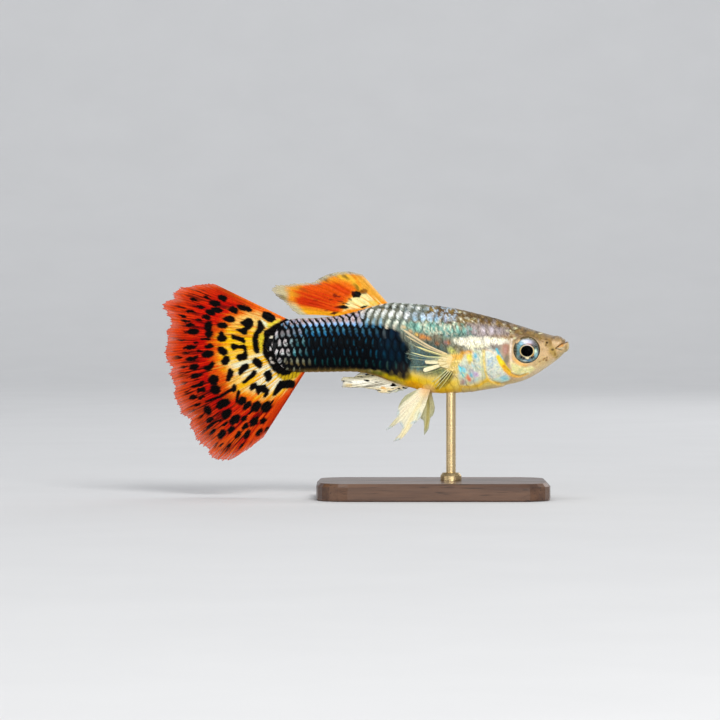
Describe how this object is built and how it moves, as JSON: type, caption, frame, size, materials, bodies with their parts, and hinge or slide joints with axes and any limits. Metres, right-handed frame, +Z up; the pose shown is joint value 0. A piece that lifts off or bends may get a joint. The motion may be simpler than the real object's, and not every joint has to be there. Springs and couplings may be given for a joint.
{
  "type": "fancy guppy, life-size still model on a display stand",
  "caption": "Adult male fancy guppy with a fan tail, spread fins and upturned mouth, as a still model held over a flat base by a slim rod.",
  "frame": {"origin": "on the underside of the stand's base, under the middle of the model's length and width", "axes": "+X from tail towards head, +Y towards the fish's left flank, +Z up"},
  "size_m": [0.042, 0.015, 0.0236],
  "materials": {
    "head_skin": "moist",
    "gill_cover_skin": "pearly",
    "trunk_skin": "pearly",
    "tail_stalk_skin": "pearly",
    "caudal_fin": "satin",
    "dorsal_fin": "satin",
    "pale_fin": "satin",
    "pectoral_fin": "satin",
    "eye": "gloss",
    "stand_wood": "satin",
    "stand_metal": "satin"
  },
  "bodies": {
    "root": {"head": "head_skin", "gill_cover_r": "gill_cover_skin", "gill_cover_l": "gill_cover_skin", "trunk": "trunk_skin", "tail_stalk": "tail_stalk_skin", "caudal_fin": "caudal_fin", "dorsal_fin": "dorsal_fin", "anal_fin": "pale_fin", "pectoral_fin_r": "pectoral_fin", "pectoral_fin_l": "pectoral_fin", "pelvic_fin_r": "pale_fin", "pelvic_fin_l": "pale_fin", "eye_r": "eye", "eye_l": "eye", "stand_base": "stand_wood", "stand_rod": "stand_metal"}
  },
  "joints": []
}
